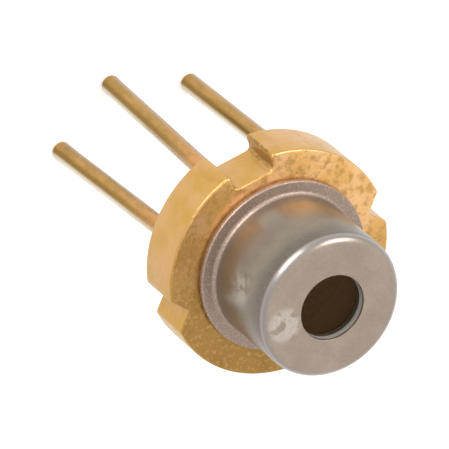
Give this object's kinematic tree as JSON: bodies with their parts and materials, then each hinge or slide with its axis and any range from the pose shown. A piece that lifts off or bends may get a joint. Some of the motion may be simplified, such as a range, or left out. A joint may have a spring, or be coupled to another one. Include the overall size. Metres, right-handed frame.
{
  "type": "laser diode",
  "caption": "Laser diode in a round metal can: notched gold-plated stem, welded cap with a window, and formed wire leads that carry the laser and monitor photodiode circuits.",
  "frame": {"origin": "centre of the stem's front face, the plane that the emission point is measured from", "axes": "+Z is the optical axis, out of the window; +Y points at the rectangular notch in the stem's rim; the V notches lie at +X and -X, and the laser's lead is on the -X side"},
  "size_m": [0.0056, 0.0055, 0.0105],
  "materials": {
    "gold_plated_stem": "satin gold plate over steel, warm, slightly mottled, darker in the notches",
    "gold_plated_lead": "satin gold plate, slightly coppery near the stem",
    "braze": "matt silver-copper braze under thin gold",
    "gold_plated_copper": "smooth gold plate over copper",
    "gold_tin_solder": "dull reflowed gold-tin solder",
    "aluminium_nitride": "pale ceramic with a gold-coloured pad",
    "laser_semiconductor": "dark polished crystal with a metal stripe",
    "silver_epoxy": "matt grey filled epoxy",
    "silicon": "dark blue-grey polished silicon",
    "sealing_glass": "dark glossy sealing glass",
    "window_glass": "clear polished glass with an antireflection coating",
    "nickel_plated_cap": "satin nickel plate, warm grey, with fine drawing lines",
    "bond_gold": "bright drawn gold wire"
  },
  "bodies": {
    "root": {"stem": "gold_plated_stem", "heat_sink_braze": "braze", "heat_sink": "gold_plated_copper", "submount_solder": "gold_tin_solder", "submount": "aluminium_nitride", "laser_chip": "laser_semiconductor", "photodiode_epoxy": "silver_epoxy", "monitor_photodiode": "silicon", "laser_lead_seal": "sealing_glass", "monitor_lead_seal": "sealing_glass", "laser_lead": "gold_plated_lead", "monitor_lead": "gold_plated_lead", "common_lead": "gold_plated_lead", "common_lead_braze": "braze", "laser_lead_wire": "bond_gold", "laser_chip_wire": "bond_gold", "monitor_wire": "bond_gold", "cap": "nickel_plated_cap", "window_frit": "sealing_glass", "cap_window": "window_glass"}
  },
  "joints": []
}
